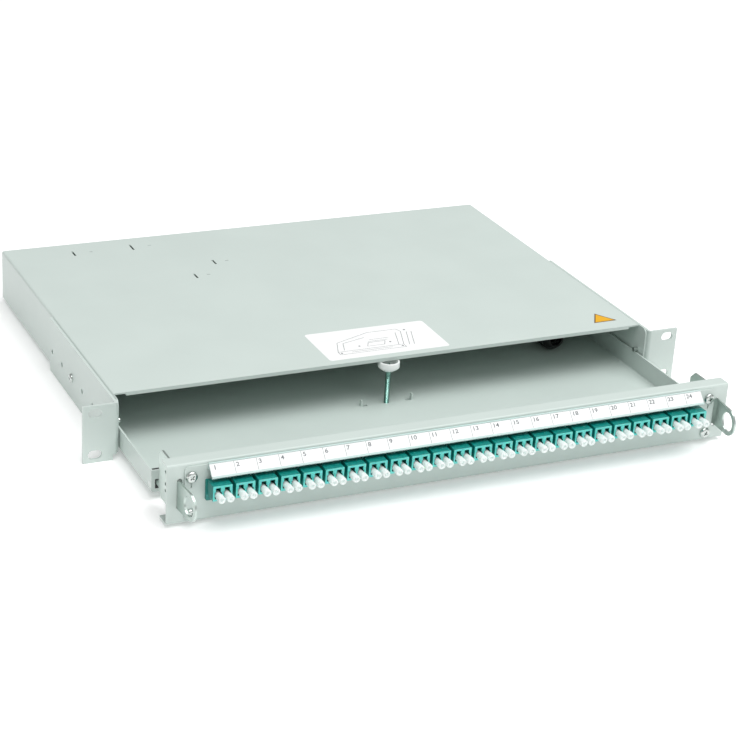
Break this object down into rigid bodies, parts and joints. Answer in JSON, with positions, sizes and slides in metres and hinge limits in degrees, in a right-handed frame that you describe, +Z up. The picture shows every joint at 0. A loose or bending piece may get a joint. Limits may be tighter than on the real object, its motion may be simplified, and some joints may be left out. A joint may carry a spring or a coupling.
{
  "type": "fibre patch panel",
  "caption": "Rack-mounted sliding fibre patch panel: sheet-metal housing with ears, pull-out drawer, a row of duplex adapters with dust caps, label strip and ring latches.",
  "frame": {"origin": "centre of the four rack slots, on the front face of the ears", "axes": "+X across the rack to the right, +Y back into the rack, +Z up"},
  "size_m": [0.4826, 0.4387, 0.0459],
  "materials": {
    "powder_coat": "light grey powder coat, fine satin texture",
    "zinc": "zinc-plated steel, satin",
    "adapter_body": "aqua moulded plastic, semi-gloss",
    "cap": "translucent white soft plastic",
    "holder": "clear moulded plastic",
    "card": "white printed card",
    "black_nylon": "black moulded nylon",
    "white_knob": "white moulded plastic",
    "glide": "natural nylon tape",
    "seal": "black rubber",
    "spring_steel": "spring steel wire"
  },
  "bodies": {
    "housing": {"housing_cover": "powder_coat", "housing_base": "powder_coat", "bracket_left": "powder_coat", "bracket_right": "powder_coat", "bracket_screws": "zinc", "glide_strips": "glide", "guide_studs": "zinc"},
    "drawer": {"drawer_tray": "powder_coat", "front_panel": "powder_coat", "adapter_plate": "powder_coat", "panel_screws": "zinc", "label_holder": "holder", "latch_blocks": "black_nylon", "latch_pins": "zinc", "side_screws": "zinc", "latch_spring_left": "spring_steel", "latch_spring_right": "spring_steel", "hold_down_stud": "zinc", "gland_body": "black_nylon", "gland_locknut": "black_nylon", "gland_seal": "seal", "adapter_01": "adapter_body", "adapter_02": "adapter_body", "adapter_03": "adapter_body", "adapter_04": "adapter_body", "adapter_05": "adapter_body", "adapter_06": "adapter_body", "adapter_07": "adapter_body", "adapter_08": "adapter_body", "adapter_09": "adapter_body", "adapter_10": "adapter_body", "adapter_11": "adapter_body", "adapter_12": "adapter_body", "adapter_13": "adapter_body", "adapter_14": "adapter_body", "adapter_15": "adapter_body", "adapter_16": "adapter_body", "adapter_17": "adapter_body", "adapter_18": "adapter_body", "adapter_19": "adapter_body", "adapter_20": "adapter_body", "adapter_21": "adapter_body", "adapter_22": "adapter_body", "adapter_23": "adapter_body", "adapter_24": "adapter_body"},
    "left_latch": {"latch_left": "zinc"},
    "right_latch": {"latch_right": "zinc"},
    "knob": {"hold_down_knob": "white_knob"},
    "clamping_nut": {"gland_nut": "black_nylon"},
    "label": {"label_strip": "card"},
    "left_caps": {"dust_caps_left": "cap"},
    "right_caps": {"dust_caps_right": "cap"}
  },
  "joints": [
    {"name": "drawer_slide", "type": "slide", "parent": "housing", "child": "drawer", "axis": [0, -1, 0], "range_m": [-0.1049, 0.12]},
    {"name": "left_latch_press", "type": "hinge", "parent": "drawer", "child": "left_latch", "pos_m": [-0.20965, -0.057, 0], "axis": [0, 0, 1], "range_deg": [0, 2.2], "stiffness_Nm_per_rad": 2, "springref_deg": -1.72, "deforming": ["latch_spring_left"]},
    {"name": "right_latch_press", "type": "hinge", "parent": "drawer", "child": "right_latch", "pos_m": [0.20965, -0.057, 0], "axis": [0, 0, -1], "range_deg": [0, 2.2], "stiffness_Nm_per_rad": 2, "springref_deg": -1.72, "deforming": ["latch_spring_right"]},
    {"name": "knob_turn", "type": "hinge", "parent": "drawer", "child": "knob", "pos_m": [-0.001, 0.0155, 0.0155], "axis": [0, 0, 1], "continuous": true},
    {"name": "clamping_nut_turn", "type": "hinge", "parent": "drawer", "child": "clamping_nut", "pos_m": [0.1685, 0.0694, -0.0036], "axis": [0, 1, 0], "continuous": true},
    {"name": "label_slide", "type": "slide", "parent": "drawer", "child": "label", "axis": [1, 0, 0], "range_m": [0, 0.385]},
    {"name": "left_caps_pull", "type": "slide", "parent": "drawer", "child": "left_caps", "axis": [0, -1, 0], "range_m": [0, 0.012]},
    {"name": "right_caps_pull", "type": "slide", "parent": "drawer", "child": "right_caps", "axis": [0, -1, 0], "range_m": [0, 0.012]}
  ]
}
